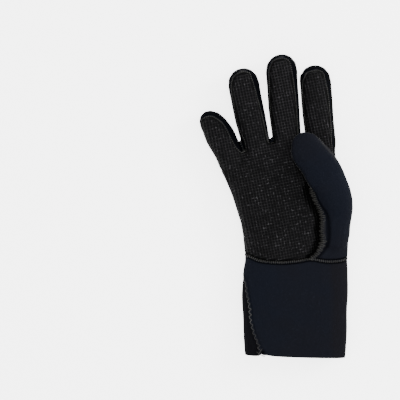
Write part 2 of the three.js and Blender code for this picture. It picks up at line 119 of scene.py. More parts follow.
# The net: height over the panel from which it is laid, in mm, how far it keeps from seams, in their widths,
# how far it follows the round of a finger, and its longest bar, in pitches
NET_START = 60
NET_CLEAR = 1.5
NET_FACING = 0.25
NET_LONGEST = 2.2

# The studio: each light's name, place and size in m and power in W, the camera's place in m and lens in mm,
# and half the floor's side in mm
LIGHTS = (("key_light", (1.5, 0.7, 1.1), 0.8, 36), ("top_light", (-0.2, 0.0, 2.2), 1.8, 30))
CAMERA_PLACE = (-0.0768, 0.0063, 1.144)
CAMERA_LENS = 100
FLOOR_HALF = 4000

skin = {}
seam_lines = {}


def length(name, description, value):
    return bpy.props.FloatProperty(name=name, description=description, default=value * MM, unit="LENGTH")


class GloveSizes(bpy.types.PropertyGroup):
    voxel: length("Skin detail", "Length of the skin's facets", 1.05)
    wall: length("Wall", "Thickness of the neoprene", 4.8)
    seam_width: length("Seam width", "Half width of the raised seam", 1.5)
    seam_height: length("Seam height", "Height of the raised seam", 1.0)
    stitch_pitch: length("Stitch pitch", "Distance from stitch to stitch", 2.1)
    thread: length("Thread", "Thickness of the thread", 0.55)
    net_pitch: length("Net pitch", "Distance from bar to bar in the grip's net", 2.85)
    net_width: length("Net width", "Width of a bar of the net", 0.95)
    net_height: length("Net height", "Height of a bar of the net", 0.32)
    knot_size: length("Knot size", "Width of the knob where bars cross", 1.5)
    net_angle: bpy.props.FloatProperty(
        name="Net angle", description="Turn of the net's rows", default=math.radians(12), subtype="ANGLE")


def colour(name, description, value):
    return bpy.props.FloatVectorProperty(
        name=name, description=description, subtype="COLOR", size=3, default=value, min=0, max=1)


class GloveColours(bpy.types.PropertyGroup):
    jersey: colour("Jersey", "Nylon jersey of the smooth panels", (0.0044, 0.0052, 0.0081))
    jersey_warm: colour("Jersey, warm", "Warmer patches of the jersey", (0.0051, 0.0050, 0.0065))
    # The seam colour lightens the ridges, partly as wear and partly as painted highlight
    seam: colour("Seam", "Worn jersey on the raised seams", (0.0175, 0.0172, 0.0162))
    # Near-black used as painted shade in the seams' grooves and on the net, and to darken the cuff seam's
    # threads
    near_black: colour("Crease", "Soiled grooves beside the seams", (0.0001, 0.0001, 0.0001))
    grip: colour("Grip", "Ground between the bars of the grip", (0.0016, 0.0016, 0.0018))
    net: colour("Net", "Raised net of the grip", (0.0046, 0.0044, 0.0048))
    thread: colour("Thread", "Thread of the seams", (0.0250, 0.0246, 0.0230))
    floor: colour("Floor", "Floor of the studio", (0.95, 0.95, 0.95))


def ease(value, start, end):
    """A soft run from 0 at the start to 1 at the end."""
    t = np.clip((value - start) / (end - start), 0, 1)
    return t * t * (3 - 2 * t)


def bump(value, peak, width):
    """A soft hill of height 1 round the peak."""
    return np.exp(-((value - peak) / width) ** 2)


# Skin: one surface over all the solids

def merged_copy(node, grow):
    """A copy of a CAD node as points and triangles with its doubles merged, grown outwards."""
    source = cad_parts[node].data
    source.calc_loop_triangles()
    points = np.array([v.co for v in source.vertices]) / MM
    corners = np.array([t.vertices for t in source.loop_triangles])
    unique, index = np.unique(np.round(points, 3), axis=0, return_inverse=True)
    corners = index.reshape(-1)[corners]
    corners = corners[(corners[:, 0] != corners[:, 1]) & (corners[:, 1] != corners[:, 2])
                      & (corners[:, 2] != corners[:, 0])]
    return unique + grow * vertex_normals(unique, corners), corners


def vertex_normals(points, corners):
    a, b, c = (points[corners[:, k]] for k in range(3))
    face = np.cross(b - a, c - a)
    normals = np.zeros_like(points)
    for k in range(3):
        np.add.at(normals, corners[:, k], face)
    return normals / np.maximum(np.linalg.norm(normals, axis=1), 1e-12)[:, None]


def new_object(name, points, corners):
    """An object made from points in mm and faces."""
    mesh = bpy.data.meshes.new(name)
    mesh.from_pydata((np.asarray(points) * MM).tolist(), [], np.asarray(corners).tolist())
    made = bpy.data.objects.new(name, mesh)
    bpy.context.scene.collection.objects.link(made)
    return made


def applied(made, name):
    """The object's evaluated mesh as a plain mesh of its own, without its modifiers."""
    depsgraph = bpy.context.evaluated_depsgraph_get()
    mesh = bpy.data.meshes.new_from_object(made.evaluated_get(depsgraph), depsgraph=depsgraph)
    made.modifiers.clear()
    made.data = mesh
    made.name = mesh.name = name
    return made


def remeshed(voxel):
    """Points and triangles of one closed surface round all the nodes, with the gaps between them filled."""
    points, corners, start = [], [], 0
    for node in PANELS:
        p, c = merged_copy(node, GAP_GROWTH)
        points.append(p)
        corners.append(c + start)
        start += len(p)
    points, corners = np.concatenate(points), np.concatenate(corners)
    shell = new_object("shell", points + fingers_apart(points, corners), corners)
    remesh = shell.modifiers.new("remesh", "REMESH")
    remesh.mode = "VOXEL"
    remesh.voxel_size = voxel
    applied(shell, "shell")
    shell.data.calc_loop_triangles()
    p = np.array([v.co for v in shell.data.vertices]) / MM
    c = np.array([t.vertices for t in shell.data.loop_triangles])
    bpy.data.objects.remove(shell)
    return p, c


def fingers_apart(points, corners):
    """Moves that draw the facing sides of neighbouring fingers apart, most where they are closest."""
    normals = vertex_normals(points, corners)
    ways = normals * (1, 1, 0)
    ways /= np.maximum(np.linalg.norm(ways, axis=1), 1e-9)[:, None]
    tree = BVHTree.FromPolygons(points.tolist(), corners.tolist())
    moves = np.zeros_like(points)
    sides = (points[:, 1] > 35) & (np.abs(normals[:, 2]) < 0.75) & (points[:, 2] < 29)
    for k in np.nonzero(sides)[0].tolist():
        way = Vector(ways[k])
        hit = tree.ray_cast(Vector(points[k]) + 0.3 * way, way, FINGER_REACH)[3]
        if hit is not None and hit > 0.45:
            moves[k] = -FINGER_SHARE * (FINGER_REACH - hit) * ways[k]
    return moves


def groups_of(count, corners):
    """A group number for each point: points joined by triangles have the same one."""
    group = np.arange(count)
    while True:
        lowest = group[corners].min(1)
        new = group.copy()
        for k in range(3):
            np.minimum.at(new, corners[:, k], lowest)
        new = new[new]
        if (new == group).all():
            return group
        group = new


def outer_skin(points, corners):
    """The outside of a hollow shell that is open at the cuff's mouth, found by taking away the rim."""
    a, b, c = (points[corners[:, k]] for k in range(3))
    face = np.cross(b - a, c - a)
    face /= np.maximum(np.linalg.norm(face, axis=1), 1e-12)[:, None]
    middle = (a + b + c) / 3
    mouth = points[:, 1].min()
    rim = (face[:, 1] < -0.6) & (middle[:, 1] < mouth + RIM_DEPTH)
    kept = corners[~rim]
    group = groups_of(len(points), kept)
    sizes = np.bincount(group[kept[:, 0]], minlength=len(points))
    names = np.argsort(sizes)[::-1][:2]
    highest = [points[np.unique(kept[group[kept[:, 0]] == name]), 2].max() for name in names]
    chosen = kept[group[kept[:, 0]] == names[int(np.argmax(highest))]]
    used, corners = np.unique(chosen, return_inverse=True)
    return points[used], corners.reshape(-1, 3)


def edges_of(corners):
    """Every edge once, and how many triangles use it."""
    pairs = np.sort(np.concatenate([corners[:, [0, 1]], corners[:, [1, 2]], corners[:, [2, 0]]]), axis=1)
    return np.unique(pairs, axis=0, return_counts=True)


def border_of(count, edges, uses):
    """Which points lie on a border, where an edge has one triangle."""
    border = np.zeros(count, bool)
    border[edges[uses == 1].reshape(-1)] = True
    return border


def sums(pairs, values):
    """For each point, the sum of the values at the far ends of the pairs that start at it."""
    return np.stack([np.bincount(pairs[:, 0], weights=values[pairs[:, 1], k], minlength=len(values))
                     for k in range(values.shape[1])], axis=1)


def smoothed(values, corners, rounds, shares=(0.5,)):
    """Values at the points, drawn towards those of their neighbours. A border point heeds only its border."""
    edges, uses = edges_of(corners)
    border = border_of(len(values), edges, uses)
    inner = ~(border[edges[:, 0]] | border[edges[:, 1]]) | (uses == 1)
    one_way = np.concatenate([edges[inner], edges[inner][:, ::-1],
                              edges[~inner][~border[edges[~inner][:, 0]]],
                              edges[~inner][~border[edges[~inner][:, 1]]][:, ::-1]])
    values = np.array(values, float)
    flat = values.reshape(len(values), -1)
    count = np.maximum(np.bincount(one_way[:, 0], minlength=len(values)), 1)[:, None]
    for share in shares * rounds:
        flat = flat + share * (sums(one_way, flat) / count - flat)
    return flat.reshape(values.shape)


def distances(points, node):
    """How far each point is from a CAD node's surface."""
    p, c = merged_copy(node, 0)
    tree = BVHTree.FromPolygons(p.tolist(), c.tolist())
    return np.array([tree.find_nearest(point)[3] for point in points.tolist()])


def beside_line(points, line):
    """Signed distance in plan from a line of points, positive on its left."""
    line = np.array(line)
    best = np.full(len(points), 1e9)
    signed = np.zeros(len(points))
    for a, b in zip(line[:-1], line[1:]):
        along = b - a
        t = np.clip(((points[:, :2] - a) @ along) / (along @ along), 0, 1)
        away = points[:, :2] - (a + t[:, None] * along)
        distance = np.linalg.norm(away, axis=1)
        side = np.sign(along[0] * away[:, 1] - along[1] * away[:, 0])
        nearer = distance < best
        best[nearer] = distance[nearer]
        signed[nearer] = (side * distance)[nearer]
    return signed


def pinky_roll(points):
    """How far the grip's edge is turned round the little finger, which lies rolled to its outside."""
    root, tip = np.array(PINKY_ROOT), np.array(PINKY_TIP)
    along = (tip - root) / np.linalg.norm(tip - root)
    away = points[:, :2] - root
    forward = away @ along
    across = away @ np.array([along[1], -along[0]])
    near = ease(forward, -14, 4) * ease(np.abs(across), 24, 19)
    return 4.0 * np.clip(across / 10, -1, 1) * near


def thenar(points):
    """How far a point is on the ball of the thumb's side of the palm, where the seam is thickest."""
    return ease(points[:, 0], 8, 20) * ease(points[:, 1], 52, 40)


def seam_sizes(points, normals):
    """Each seam's width and height at each point, as shares of the full seam's."""
    one = np.ones(len(points))
    thick = thenar(points) * (0.45 + 0.55 * ease(points[:, 1], -52, -36))
    level = ease(np.abs(normals[:, 2]), 0.15, 0.6)
    mouth = bump(points[:, 1], CUFF_NOTCH[1], 6)
    return {
        "wrist": (0.65 * one, 0.15 + 0.85 * level),
        "palm": (0.4 + 1.5 * thick, (0.55 + 1.6 * thick) * (0.35 + 0.65 * level)),
        "arch": (0.85 * one, 0.75 * one),
        "centre": (0.8 * one, 0.7 * one),
        "thumb": (0.7 * one, 0.7 * one),
        "cuff": (0.7 + 1.0 * mouth, (0.6 + 0.5 * mouth) * (0.1 + 0.9 * level)),
    }


def measure_skin(sizes):
    """Distances from each seam in widths of it: positive on its first side, negative on its other."""
    points, corners = skin["points"], skin["corners"]
    far = {node: distances(points, node) for node in PANELS}
    hand = np.min([far[node] for node in HAND_NODES], axis=0)
    arch = np.minimum(far["middle_back"], far["ring_back"])
    rest = np.minimum(far["back_panel"], arch)
    side, tip = skin["normals"][:, 0], skin["normals"][:, 1]
    outset = 1.3 + 1.1 * ease(points[:, 1], 35, 62) * ease(points[:, 0], 62, 50)
    outset -= 4.5 * ease(side, 0.1, 0.6) * ease(points[:, 1], 45, 65) * ease(points[:, 0], -55, -45)
    outset += 3.0 * ease(tip, 0.4, 0.9) * ease(points[:, 1], 70, 80)
    outset -= 1.6 * thenar(points) * ease(points[:, 1], -50, -36)
    values = {
        "wrist": hand - far["cuff"],
        "palm": rest - far["palm_panel"] - pinky_roll(points) + outset,
        "arch": far["back_panel"] - arch,
        "centre": far["middle_back"] - far["ring_back"],
        "thumb": far["back_panel"] - far["thumb_grip"],
    }
    values = {name: smoothed(value, corners, 5) for name, value in values.items()}
    top = beside_line(points, CUFF_SEAM_PALM)
    under = beside_line(points, CUFF_SEAM_BACK)
    upper = ease(points[:, 2], 12, 20)
    values["cuff"] = top * upper - under * (1 - upper)
    shares = seam_sizes(points, skin["normals"])
    for name in values:
        values[name] = values[name] / (shares[name][0] * sizes.seam_width / MM)
    skin["values"] = values
    skin["extra"] = {name: share[1] for name, share in shares.items()}
    skin["extra"].update({name + "_width": share[0] for name, share in shares.items()})


def even_mouth(points, corners):
    """Points with the mouth's border drawn onto one smooth line on top and one underneath."""
    edges, uses = edges_of(corners)
    border = np.unique(edges[uses == 1])
    middle = points[border, 2].mean()
    for half in (border[points[border, 2] > middle], border[points[border, 2] <= middle]):
        line = np.polyfit(points[half, 0], points[half, 1], 2)
        points[half, 1] = np.polyval(line, points[half, 0]) - 0.3
    return points


def border_from_within(normals, corners):
    """Normals whose border points follow their neighbours further in, as thin triangles at a rim can turn."""
    edges, uses = edges_of(corners)
    border = border_of(len(normals), edges, uses)
    both = np.concatenate([edges, edges[:, ::-1]])
    total = sums(both[border[both[:, 0]] & ~border[both[:, 1]]], normals)
    within = total / np.maximum(np.linalg.norm(total, axis=1), 1e-9)[:, None]
    return np.where(border[:, None], within, normals)


def on_hand(values):
    return values["wrist"] < TOUCH


def on_back(values):
    return on_hand(values) & (values["palm"] < TOUCH)


# Where each seam is cut and raised: name and the part of the skin it runs over
SEAMS = (
    ("wrist", lambda v, p: np.ones(len(p), bool)),
    ("palm", lambda v, p: on_hand(v)),
    ("arch", lambda v, p: on_back(v)),
    ("centre", lambda v, p: on_back(v) & (v["arch"] > -TOUCH)),
    ("thumb", lambda v, p: on_back(v) & (p[:, 2] > THUMB_LOWEST)),
    ("cuff", lambda v, p: (v["wrist"] > -TOUCH) & (p[:, 0] < CUFF_SEAM_SIDE)),
)


def cut(name, level, allowed):
    """Splits the skin's triangles where the named value crosses a level, on edges with both ends allowed."""
    points, corners, values = skin["points"], skin["corners"], skin["values"]
    height = values[name] - level
    height[np.abs(height) < 0.05] = 0
    values[name] = height + level
    ends = np.stack([corners[:, [1, 2, 0]], corners[:, [2, 0, 1]]], axis=2)
    crossed = (height[ends].prod(-1) < 0) & allowed[ends].all(-1)
    if not crossed.any():
        return
    pairs = np.sort(ends[crossed], axis=1)
    unique, index = np.unique(pairs, axis=0, return_inverse=True)
    share = height[unique[:, 0]] / (height[unique[:, 0]] - height[unique[:, 1]])

    def between(v):
        return (v[unique[:, 0]].T * (1 - share) + v[unique[:, 1]].T * share).T

    fresh = np.full(crossed.shape, -1)
    fresh[crossed] = len(points) + index.reshape(-1)
    skin["points"] = np.concatenate([points, between(points)])
    for table in (values, skin["extra"]):
        for key in table:
            table[key] = np.concatenate([table[key], between(table[key])])
    values[name][len(points):] = level
    count = crossed.sum(1)
    made = [corners[count == 0]]
    for k in range(3):
        order = [k, (k + 1) % 3, (k + 2) % 3]
        one = (count == 1) & crossed[:, k]
        a, b, c = corners[one][:, order].T
        p = fresh[one][:, k]
        made += [np.stack([a, b, p], 1), np.stack([a, p, c], 1)]
        two = (count == 2) & ~crossed[:, k]
        a, b, c = corners[two][:, order].T
        p, q = fresh[two][:, order[2]], fresh[two][:, order[1]]
        made += [np.stack([a, p, q], 1), np.stack([p, b, c], 1), np.stack([p, c, q], 1)]
    made.append(corners[count == 3])
    skin["corners"] = np.concatenate(made)


def cut_seams():
    """Cuts the skin along the rows of every seam's cross-section."""
    for name, where in SEAMS:
        for across, _ in RIDGE:
            for side in ((1, -1) if across else (1,)):
                cut(name, side * across, where(skin["values"], skin["points"]))


def turn_normals():
    """The normals of the skin as cut, evened out."""
    points, corners = skin["points"], skin["corners"]
    normals = smoothed(border_from_within(vertex_normals(points, corners), corners), corners, 3)
    skin["normals"] = normals / np.maximum(np.linalg.norm(normals, axis=1), 1e-9)[:, None]


def seam_marks(height):
    """Each point's lift, lightening and darkening by the seams: ridges lightened by wear and painted
    highlight, painted shade in the grooves.
    """
    points, values = skin["points"], skin["values"]
    lift, lightening, darkening = np.zeros((3, len(points)))
    across, up = np.array(RIDGE).T
    for name, where in SEAMS:
        allowed = where(values, points)
        away = np.abs(values[name])
        relief = np.interp(away, across, up) * height * skin["extra"][name]
        lift = np.where(allowed & (np.abs(relief) > np.abs(lift)), relief, lift)
        # Ridges lightened by wear and painted highlight
        lightening = np.where(allowed, np.maximum(lightening, RIDGE_WEAR_AND_HIGHLIGHT[name] * ease(away, 1.2, 0.6)), lightening)
        # Painted shade in the grooves beside the seam
        groove = GROOVE_SHADE[name] * ease(away, 0.9, 1.3) * ease(away, 3.2, 2.0)
        darkening = np.where(allowed, np.maximum(darkening, groove), darkening)
    return lift, lightening, darkening


def raise_seams(sizes):
    """Lifts the skin into a rounded ridge between two grooves along each seam, and marks wear, painted
    highlights and painted shade.
    """
    lift, lightening, darkening = seam_marks(sizes.seam_height / MM)
    points, facing = skin["points"], skin["normals"][:, 2]
    x, y, z = points.T
    wrist, palm, cuff = (skin["values"][name] for name in ("wrist", "palm", "cuff"))

    # Grooves beside the ball of the thumb, above the wrist seam and beside the cuff's seam
    above_floor = ease(z, 0.6, 3.0)
    ball = thenar(points) * (wrist < 0) * (palm > 0.6)
    beside_ball = ball * bump(palm, 1.9, 1.0)
    lift -= 1.5 * beside_ball
    lift -= 0.9 * bump(wrist, -1.9, 0.8) * ease(palm, 0.5, 3.0)
    lift -= 0.7 * np.exp(-np.clip(-cuff, 0, None) / 5) * (cuff < -1.2) * (wrist > 0)
    lift *= above_floor

    # Painted shade: beside the ball of the thumb, on the fingers' sides and tips, and on the cuff's strip and
    # edges
    fingers = ease(y, 20, 45) * ease(z, 36, 30) * ease(facing, -0.6, -0.2)
    strip = (cuff < 0) & (x < CUFF_SEAM_SIDE) & (facing > -0.3)
    beside = np.maximum(0.4 * strip, 0.5 * ease(np.abs(facing), 0.6, 0.1))
    for mark in (ball * ease(palm, 0.6, 1.0) * ease(palm, 4.0, 2.0),
                 0.85 * fingers * ease(facing, 0.9, 0.5),
                 0.75 * fingers * ease(palm, -0.8, -1.4),
                 beside * (wrist > 0)):
        darkening = np.maximum(darkening, mark)

    # A lighter fold and a dark spot at the notch in the mouth, and a painted highlight along the thumb's
    # outer edge
    upper = ease(z, 12, 18)
    from_notch_x, from_notch_y = x - CUFF_NOTCH[0], y - CUFF_NOTCH[1]
    fold = bump(from_notch_x + from_notch_y, -2.5, 3.2) * ease(from_notch_y, -0.8, -2.2)
    spot = bump(from_notch_x, 3.0, 2.2) * bump(from_notch_y, 3.0, 2.2)
    edge = bump(beside_line(points, THUMB_HIGHLIGHT_EDGE), 0.0, 1.3)
    lightening = np.maximum(np.maximum(lightening, 0.9 * fold * upper), 0.85 * edge * ease(z, 26, 30))
    darkening = np.maximum(darkening, spot * upper)

    # The ridges, fold and thumb edge lightened by wear and painted highlight; painted shade, cleared where
    # lightened
    skin["wear_and_highlight"] = lightening
    skin["shade"] = darkening * (1 - lightening)
    skin["warm"] = (wrist > 0) * np.maximum(ease(cuff, 0.5, -2), ease(x, 50, 64))
    skin["flat"] = points - (2.2 * beside_ball * above_floor)[:, None] * skin["normals"]
    skin["points"] = skin["flat"] + lift[:, None] * skin["normals"]


def chains(edges):
    """Edges as runs of points, each from a free end or branch to the next, then the closed loops."""
    near = {}
    for a, b in edges.tolist():
        near.setdefault(a, []).append(b)
        near.setdefault(b, []).append(a)
    seen, runs = set(), []
    starts = [v for v in near if len(near[v]) != 2] + list(near)
    for start in starts:
        for second in near[start]:
            if (start, second) in seen:
                continue
            run = [start, second]
            seen |= {(start, second), (second, start)}
            while len(near[run[-1]]) == 2 and run[-1] != start:
                onward = [v for v in near[run[-1]] if v != run[-2]]
                if not onward or (run[-1], onward[0]) in seen:
                    break
                seen |= {(run[-1], onward[0]), (onward[0], run[-1])}
                run.append(onward[0])
            runs.append(run)
    return runs


def find_seam_lines():
    """The runs of the skin's edges along each seam, for the stitches."""
    points, values = skin["points"], skin["values"]
    edges, _ = edges_of(skin["corners"])
    for name, where in SEAMS:
        allowed = where(values, points)
        on_line = (values[name] == 0) & allowed
        found = edges[on_line[edges[:, 0]] & on_line[edges[:, 1]]]
        seam_lines[name] = [run for run in chains(found) if len(run) > FEWEST_POINTS]


def panel_of(corners):
    """The panel that each triangle of the skin belongs to."""
    middle = {name: value[corners].mean(1) for name, value in skin["values"].items()}
    owner = np.full(len(corners), "back_panel", dtype=object)
    high = skin["points"][corners][..., 2].mean(1) > THUMB_LOWEST
    owner[(middle["thumb"] > 0) & high] = "thumb_grip"
    arch = middle["arch"] > 0
    owner[arch & (middle["centre"] < 0)] = "middle_back"
    owner[arch & (middle["centre"] >= 0)] = "ring_back"
    owner[middle["palm"] > 0] = "palm_panel"
    owner[middle["wrist"] > 0] = "cuff"
    return owner


def walled(name, corners, wall):
    """A closed panel: its outside, its inside one wall further in, and the cut edge between them."""
    used, local = np.unique(corners, return_inverse=True)
    local = local.reshape(-1, 3)
    outside = skin["points"][used]
    inside = skin["flat"][used] - wall * skin["normals"][used]
    count = len(used)
    sides = np.concatenate([local[:, [0, 1]], local[:, [1, 2]], local[:, [2, 0]]])
    _, first, uses = np.unique(np.sort(sides, axis=1), axis=0, return_index=True, return_counts=True)
    rim = sides[first[uses == 1]]
    rim_faces = np.concatenate([np.stack([rim[:, 1], rim[:, 0], rim[:, 0] + count], 1),
                                np.stack([rim[:, 1], rim[:, 0] + count, rim[:, 1] + count], 1)])
    points = np.concatenate([outside, inside])
    made = new_object(name, points, np.concatenate([local, local[:, ::-1] + count, rim_faces]))
    lining = np.arange(len(made.data.polygons)) >= len(local)
    made.data.polygons.foreach_set("material_index", lining.astype(np.int32))
    # Lightening by wear and painted highlight, painted shade and warm tint, on the outside only
    for key in ("wear_and_highlight", "shade", "warm"):
        float_attribute(made.data, "seam_" + key, np.concatenate([skin[key][used], np.zeros(count)]))
    made.data.shade_smooth()
    return made


# Nodes

def add(tree, kind, links=(), **settings):
    """A node with its properties set and its inputs linked or given by name."""
    made = tree.nodes.new(kind)
    for key, value in settings.items():
        setattr(made, key, value)
    for key, value in links:
        socket = made.inputs[key]
        if hasattr(value, "is_output"):
            tree.links.new(value, socket)
        else:
            socket.default_value = value
    return made


def maths(tree, operation, a, b):
    return add(tree, "ShaderNodeMath", [(0, a), (1, b)], operation=operation).outputs[0]


# Materials

def new_material(name, roughness, specular):
    material = bpy.data.materials.new(name)
    material.use_nodes = True
    tree = material.node_tree
    tree.nodes.clear()
    gloss = [("Roughness", roughness), ("Specular IOR Level", specular)]
    shader = add(tree, "ShaderNodeBsdfPrincipled", gloss)
    add(tree, "ShaderNodeOutputMaterial", [("Surface", shader.outputs[0])])
    return material, tree, shader


def place_on(tree):
    return add(tree, "ShaderNodeTexCoord").outputs["Object"]


def noise(tree, scale, detail, roughness, place):
    return add(tree, "ShaderNodeTexNoise", [("Scale", scale), ("Detail", detail), ("Roughness", roughness),
                                            ("Vector", place)]).outputs["Fac"]


def times(colour, factor):
    return tuple(factor * c for c in colour)


def mixed(tree, factor, a, b):
    """Two colours mixed, each given as a socket or as red, green and blue."""
    a, b = (value if hasattr(value, "is_output") else (*value, 1) for value in (a, b))
    links = [("Factor", factor), ("A", a), ("B", b)]
    return add(tree, "ShaderNodeMix", links, data_type="RGBA").outputs["Result"]


def stretched(tree, factor, low, high):
    links = [("Value", factor), ("From Min", low), ("From Max", high)]
    return add(tree, "ShaderNodeMapRange", links).outputs["Result"]


def bumped(tree, shader, height, distance):
    relief = add(tree, "ShaderNodeBump", [("Height", height), ("Distance", distance)])
    tree.links.new(relief.outputs[0], shader.inputs["Normal"])


def attribute(tree, name):
    return add(tree, "ShaderNodeAttribute", attribute_name=name).outputs["Fac"]


def seam_wear_highlight_and_shade(tree, place, colour, colours):
    """A colour with the seams' ridges lightened, by wear and painted highlight, and painted shade in their
    grooves over it.
    """
    fibres = stretched(tree, noise(tree, 350, 3, 0.7, place), 0.3, 0.7)
    lightening = maths(tree, "MULTIPLY", fibres, attribute(tree, "seam_wear_and_highlight"))
    colour = mixed(tree, lightening, colour, colours.seam[:])
    return mixed(tree, attribute(tree, "seam_shade"), colour, colours.near_black[:])


def jersey_material(colours):
    """Nylon jersey: fine knit ribs, faint blue and brown patches, worn with painted highlight along the
    raised seams, and painted shade in the grooves and on steep sides.
    """
    material, tree, shader = new_material("black_jersey", roughness=0.9, specular=0.01)
    place = place_on(tree)
    patches = maths(tree, "MULTIPLY", stretched(tree, noise(tree, 20, 3, 0.55, place), 0.4, 0.65), 0.5)
    patches = maths(tree, "ADD", patches, attribute(tree, "seam_warm"))
    colour = mixed(tree, patches, colours.jersey[:], colours.jersey_warm[:])
    lint = stretched(tree, noise(tree, 900, 2, 0.6, place), 0.62, 0.8)
    colour = mixed(tree, lint, colour, times(colours.jersey, 2.4))
    tree.links.new(seam_wear_highlight_and_shade(tree, place, colour, colours), shader.inputs["Base Color"])
    ribs = add(tree, "ShaderNodeTexWave", [("Scale", 330), ("Distortion", 1.2), ("Detail", 1),
                                           ("Vector", place)])
    knit = maths(tree, "ADD", ribs.outputs["Fac"], noise(tree, 1500, 1, 0.5, place))
    soft = maths(tree, "MULTIPLY", noise(tree, 60, 3, 0.5, place), 3.0)
    bumped(tree, shader, maths(tree, "ADD", soft, knit), 0.00012)
    return material


def grip_material(colours):
    """Coated ground of the grip panels: dull rubber with a fine grain."""
    material, tree, shader = new_material("grip_ground", roughness=0.8, specular=0.04)
    place = place_on(tree)
    patches = stretched(tree, noise(tree, 25, 3, 0.6, place), 0.3, 0.7)
    colour = mixed(tree, patches, colours.grip[:], times(colours.grip, 1.4))
    tree.links.new(seam_wear_highlight_and_shade(tree, place, colour, colours), shader.inputs["Base Color"])
    bumped(tree, shader, noise(tree, 1400, 2, 0.6, place), 0.00012)
    return material


def net_material(colours):
    """Raised rubber net, unevenly worn and a little shiny on top, with painted glints, knobs lighter as
    painted highlight, and painted shade near the seams.
    """
    material, tree, shader = new_material("grip_net", roughness=0.55, specular=0.06)
    place = place_on(tree)
    wear = stretched(tree, noise(tree, 260, 2, 0.7, place), 0.38, 0.68)
    # Knobs lighter than the bars: painted highlight
    wear = maths(tree, "MULTIPLY", wear, maths(tree, "ADD", attribute(tree, "knob"), 0.5))
    lightening = maths(tree, "MULTIPLY", stretched(tree, noise(tree, 45, 2, 0.5, place), 0.35, 0.65), 0.6)
    lightening = maths(tree, "ADD", lightening, attribute(tree, "net_rubbed"))
    dull = mixed(tree, wear, times(colours.net, 0.3), times(colours.net, 1.5))
    bright = mixed(tree, wear, times(colours.net, 0.9), times(colours.net, 2.8))
    # Painted glints: random bright specks
    glints = stretched(tree, noise(tree, 420, 1, 0.5, place), 0.62, 0.72)
    colour = mixed(tree, glints, mixed(tree, lightening, dull, bright), times(colours.net, 6.0))
    # Painted shade taken from the skin under each lattice point
    colour = mixed(tree, attribute(tree, "net_shade"), colour, colours.near_black[:])
    tree.links.new(colour, shader.inputs["Base Color"])
    bumped(tree, shader, noise(tree, 2500, 1, 0.5, place), 0.00006)
    return material


def thread_material(colours):
    """Twisted black thread with a dull shine."""
    material, tree, shader = new_material("black_thread", roughness=0.5, specular=0.2)
    place = place_on(tree)
    fine = noise(tree, 400, 2, 0.6, place)
    wear = maths(tree, "MULTIPLY", fine, stretched(tree, noise(tree, 50, 2, 0.5, place), 0.25, 0.6))
    colour = mixed(tree, wear, times(colours.thread, 0.3), times(colours.thread, 2.2))
    colour = mixed(tree, attribute(tree, "stitch_darkening"), colour, colours.near_black[:])
    tree.links.new(colour, shader.inputs["Base Color"])
    bumped(tree, shader, noise(tree, 3000, 1, 0.5, place), 0.0001)
    return material


def floor_material(colours):
    """A pale floor that glows a little, so that it stays even."""
    material, _, shader = new_material("pale_floor", roughness=0.9, specular=0.1)
    shader.inputs["Emission Color"].default_value = (1, 1, 1, 1)
    shader.inputs["Emission Strength"].default_value = 3.2
    shader.inputs["Base Color"].default_value = (*colours.floor, 1)
    return material


# Geometry Nodes

def geometry_tree(name, inputs):
    """A tree with the named inputs beside its geometry, its inputs' sockets and its output node."""
    tree = bpy.data.node_groups.new(name, "GeometryNodeTree")
    tree.interface.new_socket("Geometry", in_out="INPUT", socket_type="NodeSocketGeometry")
    for label, kind, _ in inputs:
        tree.interface.new_socket(label, in_out="INPUT", socket_type=kind)
    tree.interface.new_socket("Geometry", in_out="OUTPUT", socket_type="NodeSocketGeometry")
    return tree, tree.nodes.new("NodeGroupInput").outputs, tree.nodes.new("NodeGroupOutput")


def use_tree(made, tree, inputs):
    """Gives an object the tree, with its inputs set by their sockets' identifiers."""
    modifier = made.modifiers.new(tree.name, "NODES")
    modifier.node_group = tree
    sockets = {s.name: s.identifier for s in tree.interface.items_tree if s.in_out == "INPUT"}
    for label, _, value in inputs:
        modifier[sockets[label]] = value


def finish_tree(tree, group_output, geometry, material):
    """Ends a tree in real geometry with its material."""
    real = add(tree, "GeometryNodeRealizeInstances", [("Geometry", geometry)])
    done = add(tree, "GeometryNodeSetMaterial", [("Geometry", real.outputs[0]), ("Material", material)])
    tree.links.new(done.outputs[0], group_output.inputs[0])


def upright_rotation(tree, forward, up):
    """A rotation with X along one vector and Z as near as possible to another."""
    first = add(tree, "FunctionNodeAlignRotationToVector", [("Vector", up)], axis="Z")
    return add(tree, "FunctionNodeAlignRotationToVector",
               [("Rotation", first.outputs[0]), ("Vector", forward)], axis="X", pivot_axis="Z").outputs[0]


def named(tree, name, kind="FLOAT_VECTOR"):
    return add(tree, "GeometryNodeInputNamedAttribute", [("Name", name)], data_type=kind).outputs[0]


def random_value(tree, low, high, seed):
    links = [("Min", low), ("Max", high), ("Seed", seed)]
    return add(tree, "FunctionNodeRandomValue", links).outputs[1]


